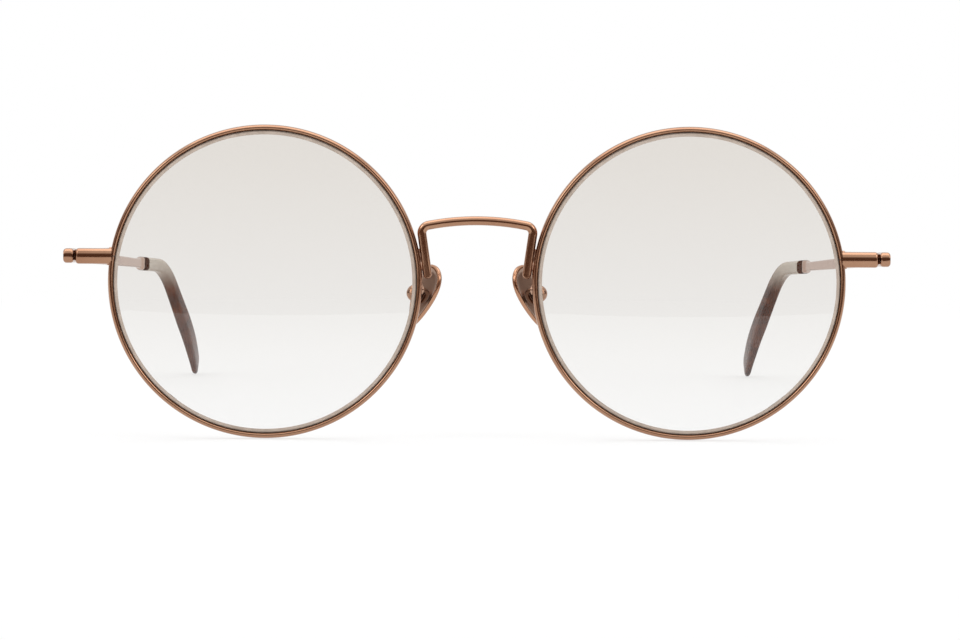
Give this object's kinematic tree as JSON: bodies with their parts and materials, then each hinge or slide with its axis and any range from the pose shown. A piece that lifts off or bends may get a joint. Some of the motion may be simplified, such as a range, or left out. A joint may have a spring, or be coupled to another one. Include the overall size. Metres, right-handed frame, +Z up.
{
  "type": "eyeglasses",
  "caption": "Round wire-rimmed eyeglasses with clear lenses, folding temples, curved acetate tips and rocking metal nose pads.",
  "frame": {"origin": "centre of the bounding box in X and Y, at the surface that the rims and the temple tips stand on", "axes": "+X across the face, towards the temple called right; -Y the way the front looks, +Y towards the temple tips; +Z up"},
  "size_m": [0.1366, 0.1312, 0.0519],
  "materials": {
    "metal": "polished rose-gold plating",
    "screw": "polished, plated",
    "lens": "polished, anti-reflective",
    "ring": "polished",
    "tip": "polished acetate"
  },
  "bodies": {
    "front": {"bridge": "metal", "left_rim": "metal", "left_endpiece": "metal", "left_closing_block_upper": "metal", "left_closing_block_lower": "metal", "left_hinge_front": "metal", "left_pad_box": "metal", "left_pad_arm": "metal", "left_closing_screw": "screw", "left_hinge_screw": "screw", "left_pad_screw": "screw", "left_lens": "lens", "right_rim": "metal", "right_endpiece": "metal", "right_closing_block_upper": "metal", "right_closing_block_lower": "metal", "right_hinge_front": "metal", "right_pad_box": "metal", "right_pad_arm": "metal", "right_closing_screw": "screw", "right_hinge_screw": "screw", "right_pad_screw": "screw", "right_lens": "lens"},
    "left_temple": {"left_temple": "metal", "left_temple_ring": "ring", "left_temple_tip": "tip", "left_hinge_temple": "metal"},
    "right_temple": {"right_temple": "metal", "right_temple_ring": "ring", "right_temple_tip": "tip", "right_hinge_temple": "metal"},
    "left_pad": {"left_nose_pad": "metal"},
    "right_pad": {"right_nose_pad": "metal"}
  },
  "joints": [
    {"name": "left_temple_hinge", "type": "hinge", "parent": "front", "child": "left_temple", "pos_m": [-0.065, -0.05939, 0.03003], "axis": [0, -0.0724, -0.9974], "range_deg": [0, 85]},
    {"name": "right_temple_hinge", "type": "hinge", "parent": "front", "child": "right_temple", "pos_m": [0.065, -0.05939, 0.03003], "axis": [0, 0.0724, 0.9974], "range_deg": [0, 80]},
    {"name": "left_pad_tilt", "type": "hinge", "parent": "front", "child": "left_pad", "pos_m": [-0.01035, -0.05876, 0.02397], "axis": [-0.3584, 0, -0.9336], "range_deg": [-10, 10]},
    {"name": "right_pad_tilt", "type": "hinge", "parent": "front", "child": "right_pad", "pos_m": [0.01035, -0.05876, 0.02397], "axis": [-0.3584, 0, 0.9336], "range_deg": [-10, 10]}
  ]
}
